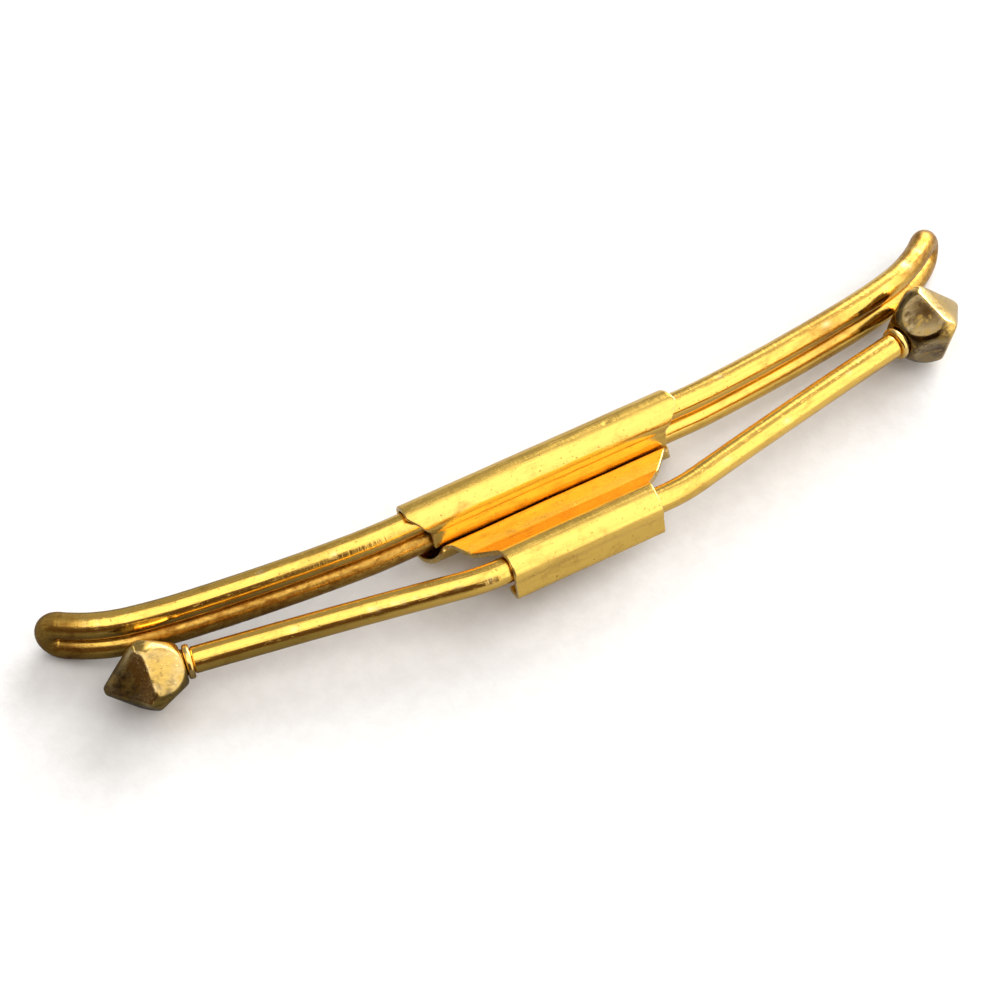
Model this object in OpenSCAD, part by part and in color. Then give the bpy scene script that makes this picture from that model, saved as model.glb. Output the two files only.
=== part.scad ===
// Spring collar bar: a straight front bar and a flared back loop of round wire,
// both held by one folded sheet saddle.
// Sizes in mm. Modelled first in the bow frame (X along the bar, Y from the
// front bar towards the back loop, Z across the two runs of the loop), then set
// down on its two knobs and its two loop tips, so Z = 0 is the table.

/* [Back loop] */
// diameter of the loop's round wire
loop_wire_d = 1.56; // [1.4:0.02:1.6]
// distance between the centres of the loop's upper and lower run
loop_pitch = 1.62; // [1.62:0.01:1.7]
// half length of the straight middle of the loop
loop_straight = 9.4; // [9.2:0.1:10]
// angle of the first bend away from the middle
loop_bend_1 = 4.4; // [3:0.1:5]
// radius of the first bend
loop_radius_1 = 32; // [28:1:36]
// angle turned along the long gentle bow of each arm
loop_bend_2 = 5.1; // [4:0.1:6]
// radius of the long gentle bow
loop_radius_2 = 115; // [105:1:125]
// angle turned where the flare begins
loop_bend_3 = 5.4; // [4:0.1:6]
// radius where the flare begins
loop_radius_3 = 32; // [28:1:36]
// angle turned by the flared tip
loop_bend_4 = 25.6; // [20:0.2:30]
// radius of the flared tip
loop_radius_4 = 9.3; // [8:0.1:11]

/* [Front bar] */
// diameter of the front bar
bar_d = 1.56; // [1.4:0.02:1.6]
// how far the front bar stands in front of the loop
bar_stand_off = 5.25; // [5.1:0.05:5.5]
// height of the front bar relative to the middle of the loop
bar_height = -0.38; // [-0.5:0.02:-0.2]
// angle of the bend beside the saddle
bar_bend = 13.1; // [12:0.1:13.4]
// radius of that bend
bar_bend_radius = 10; // [8:0.5:12]
// length of each nearly straight arm, from the bend to the ferrule
bar_arm = 15.65; // [15.2:0.05:16]
// angle by which each arm bows back over that length
bar_bow = 1.95; // [1:0.05:3]

/* [Saddle] */
// thickness of the folded sheet
sheet = 0.3; // [0.25:0.01:0.34]
// half length of the saddle at the loop
saddle_half_back = 8.7; // [8.2:0.05:8.75]
// half length of the saddle at its free front wall
saddle_half_lip = 7.65; // [7:0.05:8]
// half length of the saddle at the crease of the web
saddle_half_crease = 6.05; // [5.6:0.05:6.4]
// half length of the saddle over the front bar
saddle_half_front = 4.8; // [4.5:0.05:4.9]
// how far the fold over the front bar sits to the left of the middle
saddle_skew = 0.2; // [0:0.05:0.25]
// inner radius of the folds around the two runs of the loop
wrap_radius = 0.9; // [0.88:0.01:0.96]
// how far the free front wall runs down from the fold over the upper run
free_wall = 1.22; // [0.3:0.02:1.24]
// inner radius of the looser fold under the lower run
trough_radius = 1.04; // [1:0.01:1.08]
// depth of that fold's centre below the middle of the loop
trough_depth = 0.9; // [0.86:0.01:0.94]
// distance from the loop to the crease of the web
crease_at = 2.94; // [2.86:0.01:3.1]
// inner radius of the fold over the front bar
roll_radius = 0.88; // [0.86:0.01:0.94]
// how far the front wall runs down below the bar's centre
front_wall = 1.17; // [1:0.01:1.3]
// inner radius of the curl under the front wall
curl_radius = 0.25; // [0.2:0.01:0.3]
// depth of the flat lip under the bar
under_lip = 0.65; // [0.4:0.05:0.9]

/* [Knobs] */
// diameter of each knob across its corners
knob_d = 4.84; // [4.6:0.02:4.9]
// length from the widest point out to the blunt point
knob_point = 2.15; // [2:0.05:2.4]
// radius left at the blunt point
knob_blunt = 0.3; // [0.2:0.02:0.4]
// length of the domed inner side
knob_dome = 2.5; // [2.4:0.02:2.54]
// half width of the four point facets compared with the round blank
facet_share = 0.77; // [0.74:0.002:0.79]
// angle of the left knob about its own axis
knob_turn_left = -3; // [-20:1:20]
// angle of the right knob about its own axis
knob_turn_right = -24; // [-26:1:20]
// angle at which each knob leans to the front, away from the bar's axis
knob_lean = 5; // [0:0.5:6]

/* [Ferrules] */
// diameter of the ring between bar and knob
ferrule_d = 2; // [1.8:0.05:2.3]
// thickness of that ring
ferrule_t = 0.4; // [0.3:0.01:0.45]
// length of the neck between ring and knob
neck = 0.1; // [0.1:0.01:0.2]
// diameter of the tenon that holds ring and knob on the bar
tenon_d = 1; // [0.8:0.05:1.1]

/* [Fits] */
// radial clearance in the flex points and on the tenon
fit = 0.02; // [0.01:0.01:0.04]
// gap between the two ends of the loop's wire under the saddle
butt_gap = 0.08; // [0.04:0.02:0.2]

/* [Hidden] */
$fn = 64;
loop_r = loop_wire_d / 2;
bar_r = bar_d / 2;
z_run = loop_pitch / 2;
loop_flex_x = 8.9;
bar_flex_x = 5.3;
girdle = 0.25;
dome_r = 2.8;
knob_r = knob_d / 2;
tenon_r = tenon_d / 2;
gold = [0.83, 0.64, 0.25];
gold_pale = [0.87, 0.72, 0.36];
gold_deep = [0.72, 0.52, 0.2];

// a route is a list of [signed bend radius, angle], or [0, length] when straight
loop_route = [
    [0, loop_straight - loop_flex_x],
    [loop_radius_1, loop_bend_1],
    [loop_radius_2, loop_bend_2],
    [loop_radius_3, loop_bend_3],
    [loop_radius_4, loop_bend_4]
];
bar_route = [
    [bar_bend_radius, bar_bend],
    [-bar_arm / (bar_bow * PI / 180), bar_bow]
];
chamfer = 0.12;
hair = 0.004;
over = 0.05;

// where a route ends: [x, y, heading]
function turn(s) = s[0] == 0 ? 0 : sign(s[0]) * s[1];
function dx(s) = s[0] == 0 ? s[1] : abs(s[0]) * sin(s[1]);
function dy(s) = s[0] == 0 ? 0 : s[0] * (1 - cos(s[1]));
function route_end(route, i = 0, x = 0, y = 0, a = 0) =
    i >= len(route) ? [x, y, a] :
    route_end(route, i + 1,
        x + dx(route[i]) * cos(a) - dy(route[i]) * sin(a),
        y + dx(route[i]) * sin(a) + dy(route[i]) * cos(a),
        a + turn(route[i]));

loop_end = route_end(loop_route);
bar_end = route_end(bar_route);
knob_offset = ferrule_t + neck + knob_dome;
knob_y = -bar_stand_off + bar_end[1] + (knob_offset + chamfer) * sin(bar_end[2]);

// the tilt at which the knobs and the loop's tips touch the table together
function tip_low(t) = -sin(t) * loop_end[1]
    - sqrt(pow(z_run * sin(loop_end[2]) * sin(t), 2) + pow(z_run * cos(t), 2)) - loop_r;
function knob_low(t) = -sin(t) * knob_y + cos(t) * bar_height - knob_r;
function settle(lo, hi, n) = n == 0 ? (lo + hi) / 2 :
    knob_low((lo + hi) / 2) < tip_low((lo + hi) / 2) ?
        settle((lo + hi) / 2, hi, n - 1) : settle(lo, (lo + hi) / 2, n - 1);
rest_tilt = settle(5, 25, 30);
rest_lift = -tip_low(rest_tilt);
rest_shift = 0.77;

module rest() {
    translate([0, rest_shift, rest_lift]) rotate([-rest_tilt, 0, 0]) children();
}

// one leg of a route: a cylinder or a piece of a torus, longer by over at both ends
module leg(s, r, over) {
    if (s[0] == 0) translate([-over, 0, 0]) rotate([0, 90, 0]) cylinder(h = s[1] + 2 * over, r = r);
    else {
        extra = over / abs(s[0]) * 180 / PI;
        translate([0, s[0], 0]) rotate([0, 0, s[0] > 0 ? -90 - extra : 90 - s[1] - extra])
            rotate_extrude(angle = s[1] + 2 * extra) translate([abs(s[0]), 0]) circle(r);
    }
}

// every other leg is a hair thicker, so that its neighbours end inside it
module wire(route, r, i = 0) {
    if (i < len(route)) {
        leg(route[i], i % 2 == 0 ? r : r + hair, i % 2 == 0 ? over : 0);
        translate([dx(route[i]), dy(route[i]), 0]) rotate([0, 0, turn(route[i])])
            wire(route, r, i + 1);
    }
}

module at_end(end) {
    translate([end[0], end[1], 0]) rotate([0, 0, end[2]]) children();
}

// plain rod along X with round ends, centred
module round_rod(half, r) {
    translate([-half, 0, 0]) rotate([0, 90, 0]) cylinder(h = 2 * half, r = r);
    translate([-half, 0, 0]) sphere(r);
    translate([half, 0, 0]) sphere(r);
}

module loop_arm() {
    translate([loop_flex_x, 0, 0]) difference() {
        union() {
            for (z = [-z_run, z_run]) translate([0, 0, z]) wire(loop_route, loop_r);
            at_end(loop_end) rotate([90, 0, 0]) rotate([0, 0, -90])
                rotate_extrude(angle = 180) translate([z_run, 0]) circle(loop_r + hair);
        }
        for (z = [-z_run, z_run]) translate([0, 0, z]) sphere(loop_r + fit);
    }
}

module bar_arm_wire() {
    translate([bar_flex_x, -bar_stand_off, bar_height]) difference() {
        union() {
            wire(bar_route, bar_r);
            at_end(bar_end) rotate([0, 90, 0]) rotate_extrude() polygon([
                [0, -over], [bar_r, -over], [bar_r, 0], [bar_r - chamfer, chamfer],
                [tenon_r, chamfer], [tenon_r, chamfer + ferrule_t + neck + 1.5],
                [0, chamfer + ferrule_t + neck + 1.5]]);
        }
        sphere(bar_r + fit);
    }
}

// places a piece on the end of the front bar's arm, its own axis along +X
module on_bar() {
    translate([bar_flex_x, -bar_stand_off, bar_height]) at_end(bar_end)
        translate([chamfer, 0, 0]) children();
}

module ferrule() {
    on_bar() rotate([0, 90, 0]) difference() {
        cylinder(h = ferrule_t, d = ferrule_d);
        translate([0, 0, -1]) cylinder(h = ferrule_t + 2, r = tenon_r + fit);
    }
}

// turned blank: dome, short girdle and cone, along Z with the girdle at 0
module knob_blank() {
    dome_z = -girdle / 2;
    rotate_extrude() {
        intersection() {
            translate([knob_r - dome_r, dome_z]) circle(dome_r);
            translate([0, dome_z - knob_dome + girdle / 2]) square([4, knob_dome - girdle / 2]);
        }
        polygon([[0, dome_z], [knob_r, dome_z], [knob_r, girdle / 2],
            [knob_blunt, knob_point], [0, knob_point]]);
    }
}

// four flats: half width a0 at height 0, falling by slope for each mm of height
module flats(a0, slope) {
    rotate([0, 0, 45]) translate([0, 0, -3.5])
        cylinder(h = 5.9, r1 = (a0 + 3.5 * slope) * sqrt(2), r2 = (a0 - 2.4 * slope) * sqrt(2), $fn = 4);
}

module knob(spin, lean) {
    cone = (knob_r - knob_blunt) / (knob_point - girdle / 2);
    on_bar() difference() {
        union() {
            translate([ferrule_t, 0, 0]) rotate([0, 0, -lean]) translate([neck + knob_dome, 0, 0])
                rotate([0, 90, 0]) rotate([0, 0, 45 + spin]) intersection() {
                    knob_blank();
                    flats((knob_r + cone * girdle / 2) * facet_share, cone * facet_share);
                    flats(knob_r * 0.76, 0.5);
                    flats(knob_r * 0.95, -0.45);
                }
            // short neck that stands on the ring
            translate([ferrule_t, 0, 0]) rotate([0, 90, 0]) cylinder(h = neck + 0.3, r = tenon_r + 0.28);
        }
        translate([-1, 0, 0]) rotate([0, 90, 0]) cylinder(h = ferrule_t + neck + 2.6, r = tenon_r + fit);
    }
}

// part of a ring around [0, 0] between two angles less than half a turn apart
module ring_part(r1, r2, a1, a2) {
    far = 2 * r2;
    mid = (a1 + a2) / 2;
    intersection() {
        difference() { circle(r2); circle(r1); }
        polygon([[0, 0], far * [cos(a1), sin(a1)], far * [cos(mid), sin(mid)] * 1.6, far * [cos(a2), sin(a2)]]);
    }
}

// the folded sheet seen from its end: first number towards the loop, second up
module saddle_section() {
    w1 = wrap_radius;
    w2 = wrap_radius + sheet;
    cy = loop_r + fit - wrap_radius;
    t1 = trough_radius;
    t2 = trough_radius + sheet;
    ty = cy + w1 - t1;
    tz = -trough_depth;
    web_top = tz + 0.05 + sheet;
    web_y = ty - t2 - 0.05;
    roll_y = -bar_stand_off;
    r1 = roll_radius;
    r2 = roll_radius + sheet;
    // the rise of the web is tangent to the fold over the bar
    reach = norm([crease_at + roll_y, bar_height - web_top]);
    lean = atan2(bar_height - web_top, -(crease_at + roll_y));
    rise = lean + asin(r2 / reach);
    curl_y = roll_y - r1 + curl_radius;
    curl_z = bar_height - front_wall;
    // free front wall in front of both runs
    translate([cy - w2, 0.8 - free_wall]) square([sheet, free_wall]);
    // fold over the upper run
    translate([cy, 0.8]) { ring_part(w1, w2, 0, 90); ring_part(w1, w2, 90, 180); }
    // back wall
    translate([cy + w1, tz]) square([sheet, 0.8 - tz]);
    // trough under the lower run
    translate([ty, tz]) { ring_part(t1, t2, -90, 0); ring_part(t1, t2, -180, -90); }
    // small bend into the web
    translate([web_y, tz]) ring_part(0.05, 0.05 + sheet, 0, 90);
    // flat of the web
    translate([-crease_at, web_top - sheet]) square([web_y + crease_at, sheet]);
    // rise of the web up to the fold over the front bar
    polygon([
        [-crease_at, web_top],
        [roll_y + r2 * sin(rise), bar_height + r2 * cos(rise)],
        [roll_y + r1 * sin(rise), bar_height + r1 * cos(rise)],
        [-crease_at - sheet * tan(rise / 2), web_top - sheet],
        [-crease_at, web_top - sheet]]);
    // fold over the bar
    translate([roll_y, bar_height]) {
        ring_part(r1, r2, 90 - rise, 135);
        ring_part(r1, r2, 135, 180);
    }
    // front wall, curl and flat lip under the bar
    translate([roll_y - r2, curl_z]) square([sheet, front_wall]);
    translate([curl_y, curl_z]) ring_part(curl_radius, curl_radius + sheet, 180, 270);
    translate([curl_y, curl_z - curl_radius - sheet]) square([under_lip, sheet]);
}

// outline of the saddle seen from above
module saddle_plan() {
    half = [[saddle_half_back, 2, 0], [saddle_half_back, -0.1, 0], [saddle_half_lip, -1.3, 0],
        [saddle_half_crease, -crease_at, 0], [saddle_half_front + 0.12, -4.4, saddle_skew],
        [saddle_half_front, -7, saddle_skew]];
    right = [for (p = half) [p[0] - p[2], p[1]]];
    left = [for (i = [len(half) - 1 : -1 : 0]) [-half[i][0] - half[i][2], half[i][1]]];
    polygon(concat(right, left));
}

module saddle() {
    color(gold_pale) rest() intersection() {
        rotate([90, 0, 90]) translate([0, 0, -9]) linear_extrude(height = 18) saddle_section();
        translate([0, 0, -4]) linear_extrude(height = 8) saddle_plan();
    }
}

module loop_run_upper() {
    color(gold) rest() translate([0, 0, z_run]) difference() {
        round_rod(loop_flex_x, loop_r);
        cube([butt_gap, 4, 4], center = true);
    }
}

module loop_run_lower() { color(gold) rest() translate([0, 0, -z_run]) round_rod(loop_flex_x, loop_r); }

module loop_arm_left() { color(gold) rest() mirror([1, 0, 0]) loop_arm(); }

module loop_arm_right() { color(gold) rest() loop_arm(); }

module bar_centre() { color(gold) rest() translate([0, -bar_stand_off, bar_height]) round_rod(bar_flex_x, bar_r); }

module bar_arm_left() { color(gold) rest() mirror([1, 0, 0]) bar_arm_wire(); }

module bar_arm_right() { color(gold) rest() bar_arm_wire(); }

module ferrule_left() { color(gold_pale) rest() mirror([1, 0, 0]) ferrule(); }

module ferrule_right() { color(gold_pale) rest() ferrule(); }

module knob_left() { color(gold_deep) rest() mirror([1, 0, 0]) knob(knob_turn_left, knob_lean); }

module knob_right() { color(gold_deep) rest() knob(knob_turn_right, 0); }

saddle();
loop_run_upper();
loop_run_lower();
loop_arm_left();
loop_arm_right();
bar_centre();
bar_arm_left();
bar_arm_right();
ferrule_left();
ferrule_right();
knob_left();
knob_right();
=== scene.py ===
import math

import bpy
import numpy as np
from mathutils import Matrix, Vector


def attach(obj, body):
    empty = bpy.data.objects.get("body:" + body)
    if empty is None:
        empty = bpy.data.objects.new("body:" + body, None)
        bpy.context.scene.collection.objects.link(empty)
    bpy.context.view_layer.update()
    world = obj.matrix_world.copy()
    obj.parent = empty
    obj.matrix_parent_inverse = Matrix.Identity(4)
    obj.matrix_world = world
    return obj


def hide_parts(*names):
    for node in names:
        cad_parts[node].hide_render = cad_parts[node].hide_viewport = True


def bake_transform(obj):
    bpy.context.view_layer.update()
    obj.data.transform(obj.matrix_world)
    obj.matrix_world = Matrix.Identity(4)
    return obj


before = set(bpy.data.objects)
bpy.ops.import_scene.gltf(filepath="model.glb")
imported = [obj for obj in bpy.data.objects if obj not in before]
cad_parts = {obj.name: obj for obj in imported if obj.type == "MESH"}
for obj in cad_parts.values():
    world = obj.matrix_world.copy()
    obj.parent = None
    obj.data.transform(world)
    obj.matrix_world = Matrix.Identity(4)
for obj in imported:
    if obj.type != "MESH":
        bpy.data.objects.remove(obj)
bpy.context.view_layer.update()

# ---------------------------------------------------------------------------
# The bow frame of the CAD source, in millimetres: X along the bar, Y from the
# front bar towards the loop, Z across the loop's two runs. rest() sets it down
# on the table as the CAD does, and gives metres.
# ---------------------------------------------------------------------------
TILT = math.radians(14.0793)
SHIFT, LIFT = 0.77, 2.5211
WIRE_R = 0.78
RUN = 0.81
LOOP_ROUTE = [(0, 9.4), (32, 4.4), (115, 5.1), (32, 5.4), (9.3, 25.6)]
BAR_Y, BAR_Z = -5.25, -0.38
BAR_ROUTE = [(0, 5.3), (10, 13.1), (-15.65 / math.radians(1.95), 1.95)]
KNOB_R, KNOB_OFFSET = 2.42, 3.0
KNOB_TURN = {"left": -3.0, "right": -24.0}
KNOB_LEAN = {"left": math.radians(5.0), "right": 0.0}
RING_T = 0.4


def rest(p):
    p = np.asarray(p, float).reshape(-1, 3)
    c, s = math.cos(TILT), math.sin(TILT)
    return (
        np.stack(
            [p[:, 0], p[:, 1] * c + p[:, 2] * s + SHIFT, -p[:, 1] * s + p[:, 2] * c + LIFT],
            1,
        )
        * 0.001
    )


# ---------------------------------------------------------------------------
# smooth value noise, the same on every run
# ---------------------------------------------------------------------------
def hash3(i, j, k, seed):
    h = (
        i.astype(np.int64) * 374761393
        + j.astype(np.int64) * 668265263
        + k.astype(np.int64) * 2147483647
        + seed * 974634777
    ) & 0xFFFFFFFF
    h = ((h ^ (h >> 13)) * 1274126177) & 0xFFFFFFFF
    h = ((h ^ (h >> 16)) * 2246822519) & 0xFFFFFFFF
    return ((h ^ (h >> 15)) & 0xFFFFFF) / float(0xFFFFFF) * 2 - 1


def wobble(p, size, seed=0, octaves=2):
    """Noise of about -1 to 1 at the points p (N x 3, mm), with features of the given size (mm, or one for each axis)."""
    p = np.asarray(p, float) / np.asarray(size, float)
    out, amp, total = np.zeros(len(p)), 1.0, 0.0
    for o in range(octaves):
        q = p * 2**o + 17.3 * (o + 1)
        b = np.floor(q)
        f = q - b
        f = f * f * f * (f * (f * 6 - 15) + 10)
        b = b.astype(np.int64)
        v = 0
        for dx in (0, 1):
            for dy in (0, 1):
                for dz in (0, 1):
                    w = (
                        (f[:, 0] if dx else 1 - f[:, 0])
                        * (f[:, 1] if dy else 1 - f[:, 1])
                        * (f[:, 2] if dz else 1 - f[:, 2])
                    )
                    v = v + w * hash3(b[:, 0] + dx, b[:, 1] + dy, b[:, 2] + dz, seed + 31 * o)
        out += amp * v
        total += amp
        amp *= 0.5
    return out / total


def add_mesh(name, points_mm, faces, lay=None, wear=None, sharp=(), mirror=False, age_and_shade=None):
    """An object from points in the bow frame (mm). lay holds each point's place on the straightened metal, in mm, for the materials."""
    pts = np.array(points_mm, float)
    if mirror:
        pts = pts * np.array([-1, 1, 1])
        faces = [tuple(reversed(f)) for f in faces]
    mesh = bpy.data.meshes.new(name)
    mesh.from_pydata(rest(pts).tolist(), [], faces)
    mesh.polygons.foreach_set("use_smooth", [True] * len(mesh.polygons))
    if lay is not None:
        a = mesh.attributes.new("lay", "FLOAT_VECTOR", "POINT")
        a.data.foreach_set("vector", np.asarray(lay, np.float32).ravel())
    a = mesh.attributes.new("wear", "FLOAT", "POINT")
    a.data.foreach_set(
        "value", np.asarray(wear if wear is not None else np.zeros(len(pts)), np.float32)
    )
    # per-point darkening mask: real browning of the plating on some parts, painted shade and painted dark reflections
    # on others
    a = mesh.attributes.new("age_and_shade", "FLOAT", "POINT")
    a.data.foreach_set(
        "value", np.asarray(age_and_shade if age_and_shade is not None else np.zeros(len(pts)), np.float32)
    )
    if len(sharp):
        wanted = {tuple(sorted(e)) for e in sharp}
        flags = [tuple(sorted(e.vertices)) in wanted for e in mesh.edges]
        s = mesh.attributes.new("sharp_edge", "BOOLEAN", "EDGE")
        s.data.foreach_set("value", flags)
    mesh.validate()
    mesh.update()
    o = bpy.data.objects.new(name, mesh)
    bpy.context.scene.collection.objects.link(o)
    return o


def ramp(v, a, b):
    t = np.clip((v - a) / (b - a), 0, 1)
    return t * t * (3 - 2 * t)


# ---------------------------------------------------------------------------
# wires
# ---------------------------------------------------------------------------
def walk(route, z, step=0.22, x0=0.0, trim=0.0):
    """Samples of a planar route: centre, heading, arc length."""
    out = []
    x, y, a, s = x0, 0.0, 0.0, 0.0
    for k, (radius, v) in enumerate(route):
        if radius == 0:
            length = v - (x0 if k == 0 else 0)
            n = max(2, int(round(length / step)))
            for i in range(n):
                t = length * i / n
                out.append((x + t * math.cos(a), y + t * math.sin(a), z, a, s + t))
            x, y, s = x + length * math.cos(a), y + length * math.sin(a), s + length
        else:
            r, turn = abs(radius), math.radians(v)
            sign = 1 if radius > 0 else -1
            length = r * turn
            n = max(6, int(round(length / step)))
            for i in range(n):
                t = turn * i / n
                lx, ly = r * math.sin(t), sign * r * (1 - math.cos(t))
                out.append(
                    (
                        x + lx * math.cos(a) - ly * math.sin(a),
                        y + lx * math.sin(a) + ly * math.cos(a),
                        z,
                        a + sign * t,
                        s + r * t,
                    )
                )
            lx, ly = r * math.sin(turn), sign * r * (1 - math.cos(turn))
            x, y = x + lx * math.cos(a) - ly * math.sin(a), y + lx * math.sin(a) + ly * math.cos(a)
            a += sign * turn
            s += length
    out.append((x, y, z, a, s))
    return out


def sweep(rings, segments, seed, dents=(), amp=0.006):
    """rings: (centre, n1, n2, radius, s). Returns points, lay, faces, wear with both ends closed."""
    pts, lay, faces, wear = [], [], [], []
    phi = np.arange(segments) * 2 * math.pi / segments
    for c, n1, n2, r, s in rings:
        flat = np.stack([np.full(segments, s), r * np.cos(phi), r * np.sin(phi)], 1)
        rr = (
            r
            + amp * wobble(flat, (2.6, 1.1, 1.1), seed) * (r > 0.7)
            - amp
            + amp * 0.5 * wobble(flat, (0.5, 0.45, 0.45), seed + 5) * (r > 0.7)
        )
        w = np.zeros(segments)
        for ds, dphi, ws, wp, depth in dents:
            d = np.exp(
                -(((s - ds) / ws) ** 2)
                - (((phi - dphi + math.pi) % (2 * math.pi) - math.pi) / wp) ** 2
            )
            rr = rr - depth * d
            w = np.maximum(w, d)
        pts.append(
            c[None, :]
            + rr[:, None] * (np.cos(phi)[:, None] * n1[None, :] + np.sin(phi)[:, None] * n2[None, :])
        )
        lay.append(flat)
        wear.append(w)
    n = len(rings)
    for i in range(n - 1):
        a, b = i * segments, (i + 1) * segments
        for j in range(segments):
            k = (j + 1) % segments
            faces.append((a + j, a + k, b + k, b + j))
    pts, lay, wear = np.concatenate(pts), np.concatenate(lay), np.concatenate(wear)
    first, last = len(pts), len(pts) + 1
    pts = np.concatenate([pts, [rings[0][0]], [rings[-1][0]]])
    lay = np.concatenate([lay, [[rings[0][4], 0, 0]], [[rings[-1][4], 0, 0]]])
    wear = np.concatenate([wear, [0, 0]])
    base = (n - 1) * segments
    sharp = []
    for j in range(segments):
        k = (j + 1) % segments
        faces.append((first, k, j))
        faces.append((last, base + j, base + k))
        sharp += [(j, k), (base + j, base + k)]
    return pts, lay, faces, wear, sharp


def loop_half(side):
    """Half of the back loop: the upper run from the butt joint out, round the hairpin, and the lower run back to the middle."""
    seed = 11 if side == "left" else 23
    out = walk(LOOP_ROUTE, RUN, x0=0.006)
    rings = []
    z3 = np.array([0.0, 0, 1])
    for i, (x, y, z, a, s) in enumerate(out[:-1]):
        rings.append(
            (np.array([x, y, z]), np.array([-math.sin(a), math.cos(a), 0]), z3, WIRE_R, s)
        )
    x, y, z, a, s = out[-1]
    t = np.array([math.cos(a), math.sin(a), 0])
    n1 = np.array([-math.sin(a), math.cos(a), 0])
    end = np.array([x, y, 0.0])
    bend = 22
    for i in range(bend + 1):
        f = math.pi * i / bend
        c = end + RUN * (math.sin(f) * t + math.cos(f) * z3)
        rings.append((c, n1, math.cos(f) * z3 + math.sin(f) * t, WIRE_R, s + RUN * f))
    s2 = s + RUN * math.pi
    back = walk(LOOP_ROUTE, -RUN, x0=0.006)
    total = back[-1][4]
    for x, y, z, a, q in reversed(back[:-1]):
        rings.append(
            (
                np.array([x, y, z]),
                np.array([-math.sin(a), math.cos(a), 0]),
                -z3,
                WIRE_R,
                s2 + total - q,
            )
        )
    # marks left by the pliers where the tips were flared, and a few nicks
    if side == "left":
        dents = [
            (25.2, 2.2, 0.09, 0.9, 0.055),
            (26.3, 2.0, 0.07, 0.8, 0.05),
            (26.9, 2.3, 0.06, 0.6, 0.045),
            (27.6, 1.9, 0.08, 0.8, 0.05),
            (17.4, 1.7, 0.25, 0.25, 0.02),
            (13.2, 2.4, 0.18, 0.22, 0.02),
        ]
    else:
        dents = [
            (26.6, 1.9, 0.25, 0.5, 0.03),
            (24.4, 2.6, 0.35, 0.35, 0.03),
            (28.0, 1.6, 0.15, 0.6, 0.025),
            (12.1, 1.8, 0.2, 0.2, 0.02),
            (19.7, 2.3, 0.3, 0.2, 0.02),
        ]
    pts, lay, faces, wear, sharp = sweep(rings, 64, seed, dents)
    # the plating has browned at the flared tips, most of all on the right
    x = pts[:, 0]
    if side == "right":
        age_and_shade = 0.95 * ramp(x, 24.5, 27.5) + 0.55 * np.exp(-(((x - 19.6) / 1.6) ** 2))
    else:
        # and, as painted shade, darkened along the lower run of the left half, standing in for the shade that takes its
        # highlight away
        lower = ramp(lay[:, 0], s2 + 1.0, s2 + 6.0)
        age_and_shade = np.maximum(0.7 * ramp(x, 26.5, 28.5), 0.9 * lower)
    lay[:, 0] += seed * 40
    name = f"loop_wire_{side}"
    return add_mesh(name, pts, faces, lay, wear, sharp, mirror=side == "left", age_and_shade=age_and_shade)


def bar_half(side):
    """Half of the front bar, from its middle inside the saddle's fold to the tenon under the ferrule."""
    seed = 41 if side == "left" else 57
    out = walk(BAR_ROUTE, BAR_Z)
    rings = []
    z3 = np.array([0.0, 0, 1])
    for x, y, z, a, s in out:
        rings.append(
            (
                np.array([x, y + BAR_Y, z]),
                np.array([-math.sin(a), math.cos(a), 0]),
                z3,
                WIRE_R,
                s,
            )
        )
    c, n1, _, _, s = rings[-1]
    a = out[-1][3]
    t = np.array([math.cos(a), math.sin(a), 0])
    for d, r in (
        (0.03, 0.772),
        (0.06, 0.752),
        (0.09, 0.72),
        (0.11, 0.68),
        (0.119, 0.62),
        (0.12, 0.5),
        (0.4, 0.5),
        (1.2, 0.5),
    ):
        rings.append((c + d * t, n1, z3, r, s + d))
    if side == "left":
        dents = [
            (11.2, 2.45, 0.16, 0.30, 0.035),
            (12.6, 2.55, 0.13, 0.26, 0.035),
            (13.1, 2.3, 0.10, 0.2, 0.02),
            (17.5, 2.2, 0.3, 0.2, 0.02),
            (8.0, 2.5, 0.2, 0.2, 0.02),
            (6.2, 2.7, 0.25, 0.25, 0.02),
        ]
        # a row of small marks along the top of the left arm
        for i in range(11):
            at = 9.3 + 0.36 * i + 0.09 * math.sin(2.3 * i)
            dents.append((at, 2.33 + 0.05 * math.sin(1.7 * i), 0.07, 0.13, 0.018 + 0.008 * (i % 3)))
    else:
        dents = [
            (9.4, 2.4, 0.3, 0.2, 0.02),
            (14.2, 2.5, 0.25, 0.2, 0.02),
            (19.4, 2.2, 0.15, 0.25, 0.02),
        ]
    pts, lay, faces, wear, sharp = sweep(rings, 64, seed, dents)
    lay[:, 0] += seed * 40
    return add_mesh(f"front_bar_{side}", pts, faces, lay, wear, sharp, mirror=side == "left")


# ---------------------------------------------------------------------------
# saddle: one folded sheet, followed along its section
# ---------------------------------------------------------------------------
SHEET = 0.3
CREASE = 2.94


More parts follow.
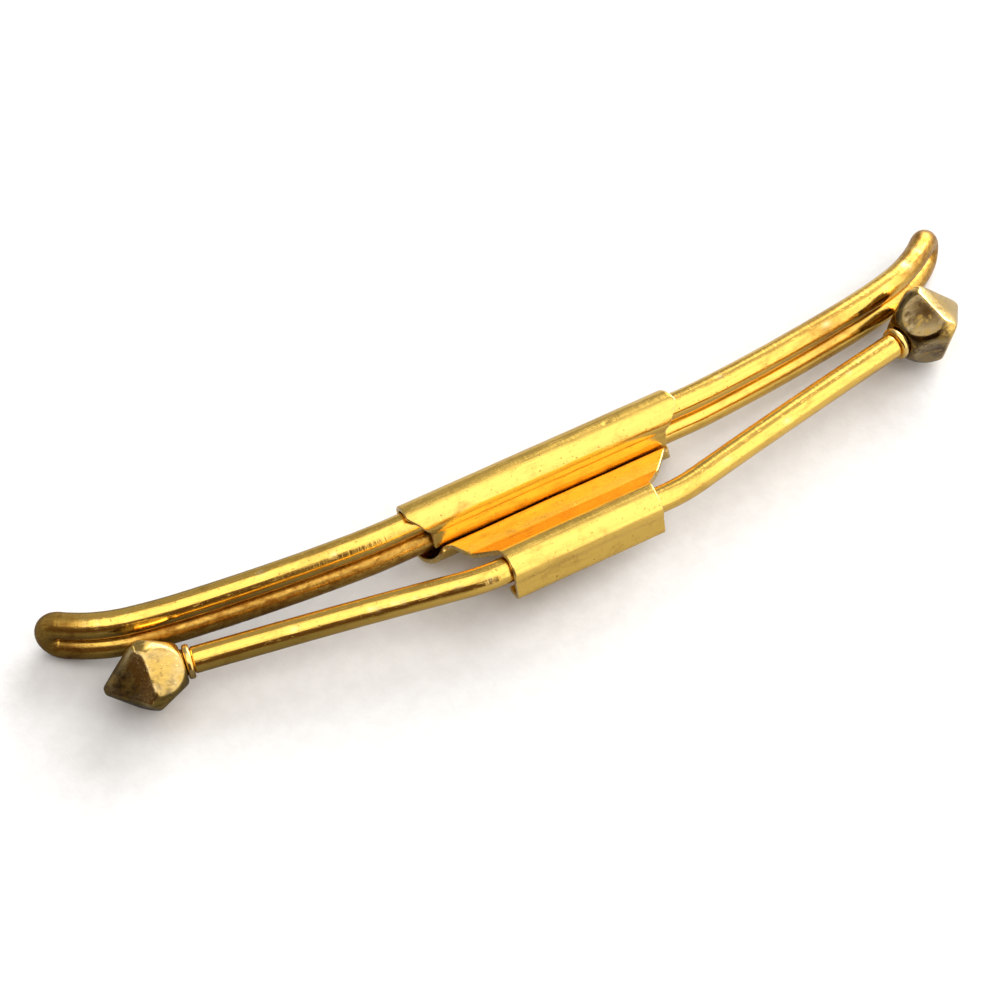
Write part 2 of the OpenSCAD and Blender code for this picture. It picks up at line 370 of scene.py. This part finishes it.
def section():
    """Centreline of the sheet's section in (Y, Z), with unit normals towards the outer side, and its arc length."""
    cy = WIRE_R + 0.02 - 0.9
    r = 1.05
    web_y = -1.66
    reach_y, reach_z = CREASE + BAR_Y, BAR_Z + 0.55
    reach = math.hypot(reach_y, reach_z)
    lean = math.degrees(math.atan2(reach_z, -reach_y))
    rise = lean + math.degrees(math.asin(1.18 / reach))
    k = math.tan(math.radians(rise / 2))
    soft = 0.5
    straight_web = (CREASE + web_y) + 0.15 * k - soft * k
    straight_rise = math.sqrt(reach**2 - 1.18**2) + 0.15 * k - soft * k
    legs = [
        ("line", 1.14),
        ("arc", 0.4, 19),
        ("arc", -r, 199),
        ("line", 1.7),
        ("arc", -1.205, 180),
        ("arc", 0.2, 90),
        ("line", straight_web),
        ("arc", -soft, rise),
        ("line", straight_rise),
        ("arc", 1.03, 90 + rise + 14),
        ("arc", -0.5, 14),
        ("line", 0.92),
        ("arc", 0.4, 90),
        ("line", 0.65),
    ]
    y, z = -1.085, -0.72
    h = math.pi / 2
    pts, heads, ss, marks, s = [], [], [], [0.0], 0.0
    for leg in legs:
        if leg[0] == "line":
            n = max(2, int(round(leg[1] / 0.13)))
            for i in range(n):
                t = leg[1] * i / n
                pts.append((y + t * math.cos(h), z + t * math.sin(h)))
                heads.append(h)
                ss.append(s + t)
            y, z, s = y + leg[1] * math.cos(h), z + leg[1] * math.sin(h), s + leg[1]
        else:
            radius, turn = leg[1], math.radians(leg[2])
            sign = 1 if radius > 0 else -1
            q = abs(radius)
            n = max(6, int(round(q * turn / 0.07)))
            cyy, czz = y - sign * q * math.sin(h), z + sign * q * math.cos(h)
            for i in range(n):
                g = h + sign * turn * i / n
                pts.append((cyy + sign * q * math.sin(g), czz - sign * q * math.cos(g)))
                heads.append(g)
                ss.append(s + q * turn * i / n)
            h += sign * turn
            y, z = cyy + sign * q * math.sin(h), czz - sign * q * math.cos(h)
            s += q * turn
        marks.append(s)
    pts.append((y, z))
    heads.append(h)
    ss.append(s)
    heads = np.array(heads)
    normals = np.stack([-np.sin(heads), np.cos(heads)], 1)
    return np.array(pts), normals, heads, np.array(ss), marks


# half lengths of the sheet at stations along its section: free edge, start of the
# fold over the upper run, its crown, its end, the back wall, the bottom of the
# trough, its front, the start of the web, the crease, the rise and the front roll
ENDS = {
    -1: [7.55, 7.58, 8.75, 8.7, 8.6, 8.2, 7.3, 6.75, 6.05, 5.12, 5.0, 5.0],
    1: [7.70, 7.74, 8.80, 8.25, 8.2, 8.2, 7.5, 7.25, 5.97, 4.74, 4.6, 4.6],
}


def saddle():
    line, normals, heads, ss, marks = section()
    n = len(line)
    # the cut ends are a little uneven, as sheared and filed by hand
    ends = {}
    m = marks
    stations = [0, m[2], m[2] + 1.5, m[3], m[4], m[4] + 1.87, m[5], m[6], m[8], m[9], m[9] + 1.0, m[-1]]
    for sign, seed in ((-1, 3), (1, 8)):
        q = np.stack([ss, np.zeros(n), np.zeros(n)], 1)
        ends[sign] = np.interp(ss, stations, ENDS[sign]) + 0.035 * wobble(q, 1.3, seed) - 0.01

    across = 92
    v = np.linspace(-1, 1, across)
    v = np.sign(v) * (1 - (1 - np.abs(v)) ** 1.12)  # slightly finer towards the ends
    rr = 0.075  # how far the sheet's edges are rounded off

    def place(i_f, x, w):
        """3D points of the sheet at fractional section index, x and offset w from the centreline."""
        i_f = np.asarray(i_f, float)
        lo = np.clip(np.floor(i_f).astype(int), 0, n - 2)
        f = i_f - lo
        y = line[lo, 0] * (1 - f) + line[lo + 1, 0] * f
        z = line[lo, 1] * (1 - f) + line[lo + 1, 1] * f
        hd = heads[lo] * (1 - f) + heads[lo + 1] * f
        u = ss[lo] * (1 - f) + ss[lo + 1] * f
        ny, nz = -np.sin(hd), np.cos(hd)
        # gentle unevenness of the folded sheet, the same on both of its faces
        q = np.stack([x, u, np.zeros_like(u)], 1)
        d = 0.022 * wobble(q, (4.5, 2.2, 1), 71) + 0.006 * wobble(q, (1.1, 0.6, 1), 77)
        # small marks on the outer face only
        marks_in = 0
        for mx, mu, wx, wu, depth in NICKS:
            marks_in = marks_in + depth * np.exp(-(((x - mx) / wx) ** 2) - (((u - mu) / wu) ** 2))
        ww = w + d - marks_in * (w > 0)
        return np.stack([x, y + ny * ww, z + nz * ww], 1), u

    half_l, half_r = ends[-1], ends[1]
    t = SHEET / 2

    def grid_x(i, vv):
        lim_l, lim_r = half_l[i] - rr, half_r[i] - rr
        return np.where(vv < 0, vv * lim_l, vv * lim_r)

    pts, lay, wear, faces = [], [], [], []
    # inset the first and last section row by rr, to leave room for the rounded edge
    idx = np.arange(n, dtype=float)
    idx[0] += rr / (ss[1] - ss[0])
    idx[-1] -= rr / (ss[-1] - ss[-2])

    def put(p, u, x, w, edge):
        base = sum(len(a) for a in pts)
        pts.append(p)
        lay.append(np.stack([x, u, np.asarray(w)], 1))
        wear.append(np.full(len(p), edge))
        return base

    tops, bottoms = [], []
    for i in range(n):
        x = grid_x(i, v)
        for w, store in ((t, tops), (-t, bottoms)):
            p, u = place(np.full(across, idx[i]), x, np.full(across, w))
            store.append(put(p, u, x, np.full(across, w), 0.0))
    for i in range(n - 1):
        for j in range(across - 1):
            a, b = tops[i] + j, tops[i + 1] + j
            faces.append((a, a + 1, b + 1, b))
            a, b = bottoms[i] + j, bottoms[i + 1] + j
            faces.append((a, b, b + 1, a + 1))

    # the rim: the border of the two grids, joined by a rounded strip
    border = (
        [(0, j) for j in range(across)]
        + [(i, across - 1) for i in range(1, n)]
        + [(n - 1, j) for j in range(across - 2, -1, -1)]
        + [(i, 0) for i in range(n - 2, 0, -1)]
    )
    at = np.array([[idx[i], grid_x(i, v[j : j + 1])[0], np.interp(idx[i], np.arange(n), ss)] for i, j in border])
    prev, nxt = np.roll(at, 1, 0), np.roll(at, -1, 0)
    d1 = at[:, 1:] - prev[:, 1:]
    d2 = nxt[:, 1:] - at[:, 1:]
    d1 /= np.linalg.norm(d1, axis=1)[:, None] + 1e-12
    d2 /= np.linalg.norm(d2, axis=1)[:, None] + 1e-12
    tangent = d1 + d2
    tangent /= np.linalg.norm(tangent, axis=1)[:, None]
    # outwards in (x, u): the border runs along +x at u=0 first, so outwards is to its right
    out = np.stack([tangent[:, 1], -tangent[:, 0]], 1)
    du = np.gradient(ss)
    rings = []
    count = len(border)
    steps = 7
    for m in range(steps):
        g = math.pi * (m + 1) / (steps + 1)
        # a superellipse: flat cut face with rounded corners
        cx, cz = math.sin(g), math.cos(g)
        e = 0.62
        o = rr * abs(cx) ** e
        w = t * math.copysign(abs(cz) ** e, cz)
        x = at[:, 0 + 1] + out[:, 0] * o
        u_shift = out[:, 1] * o
        lo = np.clip(np.floor(at[:, 0]).astype(int), 0, n - 2)
        scale = ss[lo + 1] - ss[lo]
        i_f = at[:, 0] + u_shift / scale
        p, u = place(i_f, x, np.full(count, w))
        rings.append(put(p, u, x, np.full(count, w), 1.0))
    top_ring = [tops[i] + j for i, j in border]
    bottom_ring = [bottoms[i] + j for i, j in border]
    chain = [top_ring] + [[r + k for k in range(count)] for r in rings] + [bottom_ring]
    for a, b in zip(chain[:-1], chain[1:]):
        for k in range(count):
            k2 = (k + 1) % count
            faces.append((a[k], b[k], b[k2], a[k2]))
    return add_mesh(
        "saddle_sheet",
        np.concatenate(pts),
        faces,
        np.concatenate(lay),
        np.concatenate(wear),
    )


# place along X, place along the section, their widths, and the depth of each mark
NICKS = [
    (4.4, 3.14, 0.1, 0.07, 0.05),
    (4.7, 3.29, 0.07, 0.12, 0.035),
    (-5.9, 2.44, 0.25, 0.12, 0.03),
    (-1.2, 2.24, 0.12, 0.09, 0.02),
    (6.9, 3.84, 0.2, 0.15, 0.03),
    (0.6, 14.44, 0.3, 0.1, 0.015),
    (3.1, 14.24, 0.12, 0.2, 0.02),
    (-3.4, 14.64, 0.25, 0.08, 0.02),
]


# ---------------------------------------------------------------------------
# knobs: a turned blank with four flats and a narrow bevel under each, made as
# the smooth intersection of its surfaces seen from a point inside
# ---------------------------------------------------------------------------
def bar_end():
    x, y, z, a, s = walk(BAR_ROUTE, BAR_Z)[-1]
    c = np.array([x, y + BAR_Y, z]) + 0.12 * np.array([math.cos(a), math.sin(a), 0])
    return c, a


def on_bar(p):
    """Points given as (along the bar's end, towards the loop, up) to the bow frame."""
    c, a = bar_end()
    ax = np.array([math.cos(a), math.sin(a), 0])
    n1 = np.array([-math.sin(a), math.cos(a), 0])
    return c + p[:, :1] * ax + p[:, 1:2] * n1 + p[:, 2:3] * np.array([0.0, 0, 1])


def cube_sphere(m):
    """Unit directions of a cube whose faces are m x m quads, welded."""
    index, dirs, faces = {}, [], []

    def vertex(p):
        key = tuple(int(round(c)) for c in p)
        if key not in index:
            index[key] = len(dirs)
            q = np.array([math.tan(c / m * math.pi / 4) for c in p])
            dirs.append(q / np.linalg.norm(q))
        return index[key]

    for axis in range(3):
        for side in (-m, m):
            for i in range(-m, m, 2):
                for j in range(-m, m, 2):
                    quad = []
                    for di, dj in ((0, 0), (2, 0), (2, 2), (0, 2)):
                        p = [0, 0, 0]
                        p[axis] = side
                        p[(axis + 1) % 3] = i + di
                        p[(axis + 2) % 3] = j + dj
                        quad.append(vertex(p))
                    faces.append(tuple(quad) if side > 0 else tuple(reversed(quad)))
    return np.array(dirs), faces


def knob(side):
    spin = math.radians(45 + KNOB_TURN[side])
    seed = 5 if side == "left" else 9
    k = (KNOB_R - 0.3) / (2.15 - 0.125)
    dirs, faces = cube_sphere(88)
    share, slope = (KNOB_R + k * 0.125) * 0.77, k * 0.77
    c, s = math.cos(spin), math.sin(spin)

    def outside(p):
        """How far a point lies outside each surface, in mm."""
        x, y, z = p.T
        xr, yr = c * x + s * y, -s * x + c * y
        r = np.hypot(x, y)
        parts = [
            r - KNOB_R,
            (r - (KNOB_R - (z - 0.125) * k)) / math.hypot(1, k),
            z - 2.15,
            -2.5 - z,
            np.where(z < -0.125, np.hypot(r - (KNOB_R - 2.8), z + 0.125) - 2.8, -1.0),
        ]
        for q in (xr, -xr, yr, -yr):
            parts.append((q - (share - slope * z)) / math.hypot(1, slope))
            parts.append((q - (KNOB_R * 0.76 - 0.5 * z)) / math.hypot(1, 0.5))
            parts.append((q - (KNOB_R * 0.95 + 0.45 * z)) / math.hypot(1, 0.45))
        parts = np.array(parts)
        soft = 0.045
        top = parts.max(0)
        return top + soft * np.log(np.exp((parts - top) / soft).sum(0))

    lo, hi = np.zeros(len(dirs)), np.full(len(dirs), 4.0)
    for _ in range(40):
        mid = (lo + hi) / 2
        inside = outside(dirs * mid[:, None]) < 0
        lo, hi = np.where(inside, mid, lo), np.where(inside, hi, mid)
    p = dirs * lo[:, None]
    # hand-filed facets are not quite flat, and the knob has been knocked about
    d = 0.014 * wobble(p, 1.5, seed) + 0.005 * wobble(p, 0.5, seed + 3)
    wear = np.zeros(len(p))
    e = 0.06
    bulge = outside(p * (1 + e / np.linalg.norm(p, axis=1))[:, None])
    # edges: where several surfaces meet, the soft maximum is clearly above the hard one
    x, y, z = p.T
    wear = np.clip((e - bulge) / e * 3.0, 0, 1)
    p = p * (1 + (d - 0.012) / np.linalg.norm(p, axis=1))[:, None]
    pts = [p]
    # lean the knob to the front about the ring's outer face
    c, n = math.cos(KNOB_LEAN[side]), math.sin(KNOB_LEAN[side])
    out = np.stack([p[:, 2] + KNOB_OFFSET - RING_T, p[:, 1], -p[:, 0]], 1)
    local = np.stack([out[:, 0] * c + out[:, 1] * n + RING_T, out[:, 1] * c - out[:, 0] * n, out[:, 2]], 1)
    lay = p.copy()
    # short straight neck between the ring and the dome, as its own closed ring set
    base = len(local)
    m = 56
    phi = np.arange(m) * 2 * math.pi / m
    profile = [(RING_T + 0.002, 0.52), (RING_T, 0.66), (RING_T + 0.01, 0.76), (RING_T + 0.05, 0.79), (RING_T + 0.12, 0.80), (RING_T + 0.3, 0.74), (RING_T + 0.6, 0.6)]
    neck = [np.stack([np.full(m, xx), r * np.cos(phi), r * np.sin(phi)], 1) for xx, r in profile]
    faces = list(faces)
    for i in range(len(profile) - 1):
        for j in range(m):
            q = (j + 1) % m
            a, b = base + i * m, base + (i + 1) * m
            faces.append((a + j, a + q, b + q, b + j))
    neck = np.concatenate(neck + [np.array([[profile[0][0], 0, 0], [profile[-1][0], 0, 0]])])
    e0, e1 = base + m * len(profile), base + m * len(profile) + 1
    last = base + (len(profile) - 1) * m
    for j in range(m):
        q = (j + 1) % m
        faces.append((e0, base + q, base + j))
        faces.append((e1, last + j, last + q))
    local = np.concatenate([local, neck])
    lay = np.concatenate([lay, neck])
    wear = np.concatenate([wear, np.zeros(len(neck))])
    grime_and_shade = 0.22 + 0.25 * wobble(p, 1.6, seed + 20)
    # random darkening, plus painted dark reflections: the left knob's point and the right knob's inner flats are
    # darkened to stand in for the dark room they mirror
    if side == "left":
        grime_and_shade = grime_and_shade + 0.6 * ramp(p[:, 2], 0.25, 0.7) + 0.06
    else:
        grime_and_shade = grime_and_shade + 0.95 * ramp(-p[:, 2], 0.35, 0.7)
    age_and_shade = np.concatenate([np.clip(grime_and_shade, 0, 1.15), np.full(len(neck), 0.8)])
    return add_mesh(
        f"end_knob_{side}",
        on_bar(local),
        faces,
        lay + seed * 30,
        wear,
        mirror=side == "left",
        age_and_shade=age_and_shade,
    )


def ferrule(side):
    """Turned ring between bar and knob, with a softened rim and a bore for the tenon."""
    m = 72
    profile = [
        (0.005, 0.52), (0.0, 0.56), (0.0, 0.84), (0.012, 0.91), (0.05, 0.965), (0.11, 0.992),
        (0.20, 0.998), (0.29, 0.992), (0.35, 0.965), (0.388, 0.91), (0.4, 0.84), (0.4, 0.56), (0.395, 0.52),
    ]
    phi = np.arange(m) * 2 * math.pi / m
    pts, faces = [], []
    for x, r in profile:
        q = np.stack([np.full(m, x), r * np.cos(phi), r * np.sin(phi)], 1)
        rr = 1 + 0.006 * wobble(q, 0.8, 7 if side == "left" else 13) * (r > 0.85)
        q[:, 1] *= rr
        q[:, 2] *= rr
        pts.append(q)
    k = len(profile)
    for i in range(k):
        for j in range(m):
            q = (j + 1) % m
            a, b = i * m, ((i + 1) % k) * m
            faces.append((a + j, a + q, b + q, b + j))
    local = np.concatenate(pts)
    wear = (np.hypot(local[:, 1], local[:, 2]) > 0.97).astype(float) * 0.5
    lay = np.stack([local[:, 0] * 1.0, local[:, 1], local[:, 2]], 1)
    return add_mesh(f"ring_{side}", on_bar(local), faces, lay + 9, wear, mirror=side == "left")


# ---------------------------------------------------------------------------
# materials
# ---------------------------------------------------------------------------
class Tree:
    def __init__(self, tree):
        self.t = tree
        tree.nodes.clear()

    def node(self, kind, *links, **values):
        n = self.t.nodes.new(kind)
        for k, v in values.items():
            if hasattr(n, k) and k not in n.inputs:
                setattr(n, k, v)
            else:
                self.feed(n.inputs[k], v)
        for i, v in enumerate(links):
            if v is not None:
                self.feed(n.inputs[i], v)
        return n

    def feed(self, socket, v):
        if isinstance(v, bpy.types.NodeSocket):
            self.t.links.new(v, socket)
        else:
            socket.default_value = v

    def math(self, op, a, b=None, c=None, clamp=False):
        n = self.node("ShaderNodeMath", a, b, c, operation=op, use_clamp=clamp)
        return n.outputs[0]

    def vmul(self, v, k):
        n = self.node("ShaderNodeVectorMath", v, k, operation="MULTIPLY")
        return n.outputs[0]

    def noise(self, v, scale=1.0, detail=2.0, rough=0.5, distort=0.0):
        n = self.node("ShaderNodeTexNoise")
        self.feed(n.inputs["Vector"], v)
        n.inputs["Scale"].default_value = scale
        n.inputs["Detail"].default_value = detail
        n.inputs["Roughness"].default_value = rough
        n.inputs["Distortion"].default_value = distort
        return n.outputs["Fac"]

    def remap(self, v, a, b, c=0.0, d=1.0, smooth=True):
        n = self.node("ShaderNodeMapRange")
        n.interpolation_type = "SMOOTHSTEP" if smooth else "LINEAR"
        for key, val in (("Value", v), ("From Min", a), ("From Max", b), ("To Min", c), ("To Max", d)):
            self.feed(n.inputs[key], val)
        return n.outputs[0]

    def mix(self, f, a, b):
        n = self.t.nodes.new("ShaderNodeMix")
        n.data_type = "RGBA"
        self.feed(n.inputs[0], f)
        self.feed(n.inputs[6], a)
        self.feed(n.inputs[7], b)
        return n.outputs[2]


def gold(
    name,
    base,
    stain_and_shade_colour,
    pale,
    rough=(0.14, 0.26),
    along=0,
    streak=1.0,
    cross=0.5,
    darken=0.4,
    pits=0.5,
    bump=1.0,
    dulled=0.18,
):
    """Gold-tone plated brass: drawn lines along the metal, cross scratches, clouds of tarnished colour, specks, paler
    wear on edges, and darkening from the per-point mask, which is real browning on some parts and painted shade on
    others.
    """
    m = bpy.data.materials.new(name)
    m.use_nodes = True
    T = Tree(m.node_tree)
    lay = T.node("ShaderNodeAttribute", attribute_name="lay").outputs["Vector"]
    wear = T.node("ShaderNodeAttribute", attribute_name="wear").outputs["Fac"]
    age_and_shade = T.node("ShaderNodeAttribute", attribute_name="age_and_shade").outputs["Fac"]

    def stretched(along_scale, across_scale):
        k = [across_scale] * 3
        k[along] = along_scale
        return T.vmul(lay, tuple(k))

    lines = T.noise(stretched(0.10, 5.0), 1.0, 3.0, 0.6)
    fine = T.noise(stretched(0.35, 17.0), 1.0, 2.0, 0.6)
    crossed = T.noise(stretched(4.6, 0.7), 1.0, 2.0, 0.6, 0.3)
    clouds = T.noise(stretched(0.45, 0.8), 1.0, 4.0, 0.62, 0.6)
    clouds2 = T.noise(stretched(1.6, 2.6), 1.0, 4.0, 0.65, 0.3)
    speck = T.noise(stretched(5.5, 6.5), 1.0, 1.0, 0.5)
    scuff = T.noise(stretched(0.9, 11.0), 1.0, 1.0, 0.5, 1.2)

    stain = T.remap(clouds, 0.50, 0.72)
    stain2 = T.remap(clouds2, 0.52, 0.70)
    specks = T.remap(speck, 0.68, 0.76)
    dark = T.math("MULTIPLY", stain, darken)
    dark = T.math("ADD", dark, T.math("MULTIPLY", stain2, darken * 0.5))
    # darkening from the per-point mask: real browning of the plating, and painted shade and painted dark reflections
    # where the parts set it
    old_and_shade = T.math("MULTIPLY", age_and_shade, T.remap(clouds2, 0.30, 0.62, 0.55, 1.0))
    dark = T.math("ADD", dark, T.math("MULTIPLY", old_and_shade, 0.9))
    dark = T.math("ADD", dark, T.math("MULTIPLY", specks, pits), clamp=True)
    colour = T.mix(dark, (*base, 1), (*stain_and_shade_colour, 1))
    worn = T.math("MULTIPLY", wear, T.remap(clouds2, 0.30, 0.60))
    worn = T.math("MULTIPLY", worn, 0.75)
    colour = T.mix(worn, colour, (*pale, 1))
    shade = T.remap(lines, 0.3, 0.7, 0.90, 1.05, False)
    hsv = T.node("ShaderNodeHueSaturation")
    T.feed(hsv.inputs["Color"], colour)
    T.feed(hsv.inputs["Value"], shade)
    colour = hsv.outputs[0]

    r = T.remap(clouds, 0.35, 0.70, rough[0], rough[1])
    r = T.math("ADD", r, T.remap(fine, 0.3, 0.7, -0.03, 0.05, False))
    r = T.math("ADD", r, T.math("MULTIPLY", specks, 0.15))
    r = T.math("ADD", r, T.math("MULTIPLY", wear, 0.05))
    r = T.math("ADD", r, T.math("MULTIPLY", old_and_shade, dulled), clamp=True)

    height = T.math("MULTIPLY", lines, 0.9 * streak)
    height = T.math("ADD", height, T.math("MULTIPLY", fine, 0.28 * streak))
    height = T.math("ADD", height, T.math("MULTIPLY", crossed, 0.45 * cross))
    height = T.math("ADD", height, T.math("MULTIPLY", T.remap(scuff, 0.66, 0.74), -0.35 * pits))
    height = T.math("ADD", height, T.math("MULTIPLY", specks, -0.5 * pits))
    height = T.math("ADD", height, T.math("MULTIPLY", clouds2, 0.5))
    b = T.node("ShaderNodeBump")
    b.inputs["Strength"].default_value = 1.0
    b.inputs["Distance"].default_value = 1.0e-5 * bump
    T.feed(b.inputs["Height"], height)

    p = T.node("ShaderNodeBsdfPrincipled")
    p.inputs["Metallic"].default_value = 1.0
    p.inputs["IOR"].default_value = 1.5
    T.feed(p.inputs["Base Color"], colour)
    T.feed(p.inputs["Roughness"], r)
    T.feed(p.inputs["Normal"], b.outputs[0])
    out = T.node("ShaderNodeOutputMaterial")
    T.t.links.new(p.outputs[0], out.inputs[0])
    return m


BASE = (0.94, 0.60, 0.125)
# dark colour for real stains and browning, also used as painted shade on the left loop's lower run
TARNISH_AND_SHADE = (0.32, 0.14, 0.02)
PALE = (0.98, 0.76, 0.36)
wire_gold = gold("drawn_gold_wire", BASE, TARNISH_AND_SHADE, PALE, (0.13, 0.21), 0, 1.0, 2.3, 0.34, 0.7)
sheet_gold = gold("folded_gold_sheet", (0.95, 0.62, 0.135), TARNISH_AND_SHADE, PALE, (0.17, 0.27), 0, 1.0, 1.2, 0.28, 0.7)
# the knob's near-black second colour is real tarnish in random patches and painted dark reflection where the knobs'
# darkening mask is set
knob_gold = gold("worn_and_shaded_gold_knob", (0.70, 0.46, 0.115), (0.06, 0.03, 0.008), (0.90, 0.70, 0.36), (0.13, 0.22), 2, 0.5, 0.8, 0.55, 0.6, 1.0, 0.0)
ring_gold = gold("turned_gold_ring", (0.86, 0.56, 0.14), TARNISH_AND_SHADE, PALE, (0.16, 0.26), 0, 0.3, 0.8, 0.35, 0.4)


def paint(o, m):
    o.data.materials.clear()
    o.data.materials.append(m)
    return o


# ---------------------------------------------------------------------------
# build
# ---------------------------------------------------------------------------
sheet = paint(saddle(), sheet_gold)
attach(sheet, "saddle_body")
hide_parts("saddle")

for side, sign in (("left", -1), ("right", 1)):
    w = paint(loop_half(side), wire_gold)
    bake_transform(w)
    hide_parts(f"loop_arm_{side}", "loop_run_upper", "loop_run_lower")

    w = paint(bar_half(side), wire_gold)
    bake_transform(w)
    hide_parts(f"bar_arm_{side}", "bar_centre")

    r = paint(ferrule(side), ring_gold)
    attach(r, f"bar_{side}")
    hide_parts(f"ferrule_{side}")

    k = paint(knob(side), knob_gold)
    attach(k, f"bar_{side}")
    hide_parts(f"knob_{side}")


# ---------------------------------------------------------------------------
# floor, light and camera
# ---------------------------------------------------------------------------
def floor():
    mesh = bpy.data.meshes.new("floor")
    e = 1.5
    mesh.from_pydata([(-e, -e, 0), (e, -e, 0), (e, e, 0), (-e, e, 0)], [], [(0, 1, 2, 3)])
    o = bpy.data.objects.new("floor", mesh)
    bpy.context.scene.collection.objects.link(o)
    m = bpy.data.materials.new("white_card")
    m.use_nodes = True
    T = Tree(m.node_tree)
    where = T.node("ShaderNodeTexCoord").outputs["Object"]
    grain = T.noise(T.vmul(where, (900, 900, 900)), 1.0, 3.0, 0.6)
    b = T.node("ShaderNodeBump")
    b.inputs["Strength"].default_value = 1.0
    b.inputs["Distance"].default_value = 3.0e-5
    T.feed(b.inputs["Height"], grain)
    p = T.node("ShaderNodeBsdfPrincipled")
    p.inputs["Roughness"].default_value = 0.7
    p.inputs["Specular IOR Level"].default_value = 0.1
    card = T.mix(T.remap(grain, 0.3, 0.7), (0.80, 0.797, 0.793, 1), (0.84, 0.839, 0.836, 1))
    # painted shade seen only in reflections: the card is darkened where the polished metal mirrors it, most towards the
    # left
    wx = T.node("ShaderNodeSeparateXYZ", where).outputs[0]
    reflected_shade = T.math("ADD", T.remap(wx, -0.020, -0.004, 0.19, 0.55), T.remap(wx, 0.006, 0.014, 0.0, 0.11))
    darken = T.node("ShaderNodeHueSaturation")
    T.feed(darken.inputs["Color"], card)
    T.feed(darken.inputs["Value"], reflected_shade)
    mirrored = T.node("ShaderNodeLightPath").outputs["Is Glossy Ray"]
    T.feed(p.inputs["Base Color"], T.mix(mirrored, card, darken.outputs[0]))
    T.feed(p.inputs["Normal"], b.outputs[0])
    out = T.node("ShaderNodeOutputMaterial")
    T.t.links.new(p.outputs[0], out.inputs[0])
    mesh.materials.append(m)
    return o


floor()


def studio():
    """Soft light from overhead and from the right, dim on the left and in front, as even as a white room with one window."""
    world = bpy.data.worlds.new("studio")
    bpy.context.scene.world = world
    world.use_nodes = True
    T = Tree(world.node_tree)
    d = T.node("ShaderNodeTexCoord").outputs["Generated"]
    d = T.node("ShaderNodeVectorMath", d, operation="NORMALIZE").outputs[0]
    sep = T.node("ShaderNodeSeparateXYZ", d)
    x, y, z = sep.outputs
    flat = T.math("MAXIMUM", T.math("SQRT", T.math("ADD", T.math("MULTIPLY", x, x), T.math("MULTIPLY", y, y))), 1e-4)
    sx = T.math("DIVIDE", x, flat)
    back = T.remap(y, -0.08, 0.08)
    front = T.math("SUBTRACT", 1.0, back)
    # pale side behind and to the right, with the window itself further round
    side = T.math("MULTIPLY", back, T.remap(sx, 0.37, 0.45))
    side = T.math("MULTIPLY", side, T.remap(z, -0.10, 0.0))
    side = T.math("MULTIPLY", side, T.remap(z, 0.68, 0.80, 1.0, 0.35))
    window = T.math("MULTIPLY", back, T.remap(sx, 0.56, 0.62))
    window = T.math("MULTIPLY", window, T.remap(z, 0.16, 0.24))
    window = T.math("MULTIPLY", window, T.remap(z, 0.62, 0.72, 1.0, 0.0))
    # pale wall in front and to the right
    right = T.math("MULTIPLY", front, T.remap(sx, 0.10, 0.20))
    right = T.math("MULTIPLY", right, T.remap(z, -0.12, -0.02))
    top = T.math("MAXIMUM", T.remap(z, 0.85, 0.94), T.math("MULTIPLY", front, T.remap(z, 0.64, 0.84)))
    warm = T.math("MAXIMUM", T.math("MULTIPLY", top, 1.78), T.math("MULTIPLY", right, 1.7))
    warm = T.math("MAXIMUM", warm, T.math("MULTIPLY", side, 1.75))
    lit = T.math("MINIMUM", warm, 1.0)
    wall = T.math("MAXIMUM", T.math("MULTIPLY", back, 0.37), 0.10)
    warm = T.math("MAXIMUM", warm, wall)
    # the unlit part of the room in front and to the left is brown
    brown = T.math("MULTIPLY", front, T.math("SUBTRACT", 1.0, lit))
    level = T.math("MAXIMUM", warm, T.math("MULTIPLY", window, 8.0))
    bg = T.node("ShaderNodeBackground")
    tone = T.mix(brown, (1.0, 0.978, 0.95, 1), (1.0, 0.56, 0.30, 1))
    T.feed(bg.inputs["Color"], T.mix(window, tone, (0.985, 1.0, 1.01, 1)))
    T.feed(bg.inputs["Strength"], level)
    pale = T.node("ShaderNodeBackground")
    pale.inputs["Color"].default_value = (1.0, 0.998, 0.995, 1)
    pale.inputs["Strength"].default_value = 1.0
    seen = T.node("ShaderNodeLightPath").outputs["Is Camera Ray"]
    mix = T.node("ShaderNodeMixShader")
    T.feed(mix.inputs[0], seen)
    T.t.links.new(bg.outputs[0], mix.inputs[1])
    T.t.links.new(pale.outputs[0], mix.inputs[2])
    out = T.node("ShaderNodeOutputWorld")
    T.t.links.new(mix.outputs[0], out.inputs[0])


studio()

AZ, EL, DIST = math.radians(-28.049), math.radians(57.120), 0.1721
TARGET = Vector((-0.0029279, 0.0002517, 0.002776))
cam = bpy.data.cameras.new("camera")
cam.lens, cam.sensor_width, cam.sensor_fit = 107.77, 36.0, "HORIZONTAL"
cam.clip_start, cam.clip_end = 0.005, 20
camera = bpy.data.objects.new("camera", cam)
bpy.context.scene.collection.objects.link(camera)
back = Vector((math.sin(AZ) * math.cos(EL), -math.cos(AZ) * math.cos(EL), math.sin(EL)))
camera.location = TARGET + back * DIST
camera.rotation_mode = "QUATERNION"
camera.rotation_quaternion = (-back).to_track_quat("-Z", "Y")
bpy.context.scene.camera = camera

bpy.context.scene.view_settings.view_transform = "Standard"
